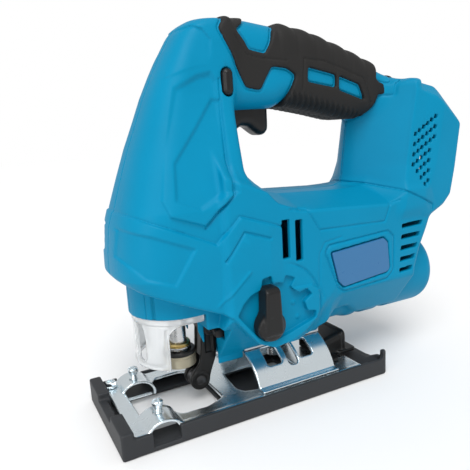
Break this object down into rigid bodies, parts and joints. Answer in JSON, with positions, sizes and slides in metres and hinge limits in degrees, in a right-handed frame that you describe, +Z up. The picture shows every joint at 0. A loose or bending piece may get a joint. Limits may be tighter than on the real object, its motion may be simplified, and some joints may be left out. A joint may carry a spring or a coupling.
{
  "type": "jigsaw power tool",
  "caption": "Cordless D-handle jigsaw with tilting base, orbital roller, tool-free blade clamp, clear guard and slide-on battery seat.",
  "frame": {"origin": "middle of the bounding box in X and Y, at the sole", "axes": "+X towards the battery end, +Y to the right of the tool, +Z up from the sole; the blade faces -X"},
  "size_m": [0.2176, 0.0776, 0.204],
  "materials": {
    "blue_plastic": "fine moulded texture",
    "grip_rubber": "soft overmould, matt",
    "black_plastic": "moulded, satin",
    "shoe_plastic": "moulded, matt",
    "zinc_steel": "bright zinc plate",
    "ground_steel": "ground and oiled",
    "brass_metal": "turned",
    "khaki_metal": "sintered, satin",
    "cast_aluminium": "die cast",
    "clear_plastic": "clear moulded polycarbonate",
    "label_film": "printed film, blank",
    "copper_winding": "varnished copper",
    "circuit_green": "solder mask"
  },
  "bodies": {
    "base": {"base_plate": "zinc_steel", "base_shoe": "shoe_plastic", "tilt_bracket": "zinc_steel", "edge_guide_bolt": "zinc_steel", "dust_nozzle": "black_plastic"},
    "fence_screw_left": {"fence_screw_left": "zinc_steel"},
    "fence_screw_right": {"fence_screw_right": "zinc_steel"},
    "housing": {"left_housing": "blue_plastic", "right_housing": "blue_plastic", "left_grip": "grip_rubber", "right_grip": "grip_rubber", "label_plate": "label_film", "housing_screw_1": "ground_steel", "housing_screw_2": "ground_steel", "housing_screw_3": "ground_steel", "housing_screw_4": "ground_steel", "housing_screw_5": "ground_steel", "housing_screw_6": "ground_steel", "gear_frame": "cast_aluminium", "tilt_saddle": "cast_aluminium", "bevel_washer": "ground_steel", "upper_bushing": "brass_metal", "lower_bushing": "brass_metal", "gear_axle": "ground_steel", "front_bearing": "ground_steel", "rear_bearing": "ground_steel", "motor_can": "zinc_steel", "upper_magnet": "black_plastic", "lower_magnet": "black_plastic", "brush_cap": "black_plastic", "left_brush": "copper_winding", "right_brush": "copper_winding", "switch_module": "black_plastic", "control_board": "circuit_green", "terminal_block": "black_plastic", "left_terminal": "brass_metal", "right_terminal": "brass_metal"},
    "bevel_bolt": {"bevel_bolt": "ground_steel"},
    "trigger": {"trigger": "grip_rubber"},
    "lock_button": {"lock_button": "grip_rubber"},
    "selector": {"selector_knob": "black_plastic", "selector_shaft": "ground_steel"},
    "roller_arm": {"roller_arm": "black_plastic", "roller_pin": "ground_steel"},
    "guide_roller": {"guide_roller": "ground_steel"},
    "plunger": {"plunger_rod": "ground_steel", "plunger_yoke": "ground_steel", "clamp_body": "ground_steel"},
    "clamp_sleeve": {"clamp_sleeve": "khaki_metal"},
    "crank": {"crank_gear": "ground_steel", "crank_pin": "ground_steel"},
    "armature": {"motor_armature": "copper_winding", "pinion": "ground_steel", "cooling_fan": "cast_aluminium"},
    "clear_guard": {"clear_guard": "clear_plastic"}
  },
  "joints": [
    {"name": "bevel_tilt", "type": "hinge", "parent": "base", "child": "housing", "pos_m": [-0.00885, 0.00375, 0], "axis": [1, 0, 0], "range_deg": [-45, 45]},
    {"name": "fence_left_turn", "type": "hinge", "parent": "base", "child": "fence_screw_left", "pos_m": [-0.08635, -0.01725, 0.015], "axis": [0, 0, 1], "range_deg": [0, 360]},
    {"name": "fence_right_turn", "type": "hinge", "parent": "base", "child": "fence_screw_right", "pos_m": [-0.08635, 0.02475, 0.015], "axis": [0, 0, 1], "range_deg": [0, 360]},
    {"name": "bevel_bolt_turn", "type": "hinge", "parent": "housing", "child": "bevel_bolt", "pos_m": [-0.00585, 0.00375, 0.02], "axis": [0, 0, 1], "range_deg": [0, 180]},
    {"name": "trigger_pull", "type": "slide", "parent": "housing", "child": "trigger", "axis": [0, 0, 1], "range_m": [0, 0.006], "stiffness_N_per_m": 800, "springref_m": -0.005},
    {"name": "lock_push", "type": "slide", "parent": "housing", "child": "lock_button", "axis": [0, 1, 0], "range_m": [0, 0.0035], "stiffness_N_per_m": 600, "springref_m": -0.003},
    {"name": "selector_turn", "type": "hinge", "parent": "housing", "child": "selector", "pos_m": [-0.02884, -0.03125, 0.05], "axis": [0, 1, 0], "range_deg": [0, 72]},
    {"name": "arm_swing", "type": "hinge", "parent": "housing", "child": "roller_arm", "pos_m": [-0.04884, 0.00375, 0.044], "axis": [0, 1, 0], "range_deg": [0, 4], "stiffness_Nm_per_rad": 0.5, "springref_deg": -5.73},
    {"name": "roller_spin", "type": "hinge", "parent": "roller_arm", "child": "guide_roller", "pos_m": [-0.05604, 0.00375, 0.014], "axis": [0, 1, 0], "continuous": true},
    {"name": "plunger_stroke", "type": "slide", "parent": "housing", "child": "plunger", "axis": [0, 0, 1], "range_m": [0, 0.018]},
    {"name": "clamp_turn", "type": "hinge", "parent": "plunger", "child": "clamp_sleeve", "pos_m": [-0.06535, 0.00375, 0.026], "axis": [0, 0, 1], "range_deg": [0, 75], "stiffness_Nm_per_rad": 0.05, "springref_deg": -17.19},
    {"name": "gear_spin", "type": "hinge", "parent": "housing", "child": "crank", "pos_m": [-0.03784, 0.00375, 0.08305], "axis": [1, 0, 0], "continuous": true},
    {"name": "armature_spin", "type": "hinge", "parent": "housing", "child": "armature", "pos_m": [-0.03784, 0.00375, 0.052], "axis": [1, 0, 0], "continuous": true},
    {"name": "guard_slide", "type": "slide", "parent": "housing", "child": "clear_guard", "axis": [0, 0, 1], "range_m": [0, 0.01]}
  ],
  "couplings": [
    {"joint": "armature_spin", "follows": "gear_spin", "ratio": -3.5}
  ]
}
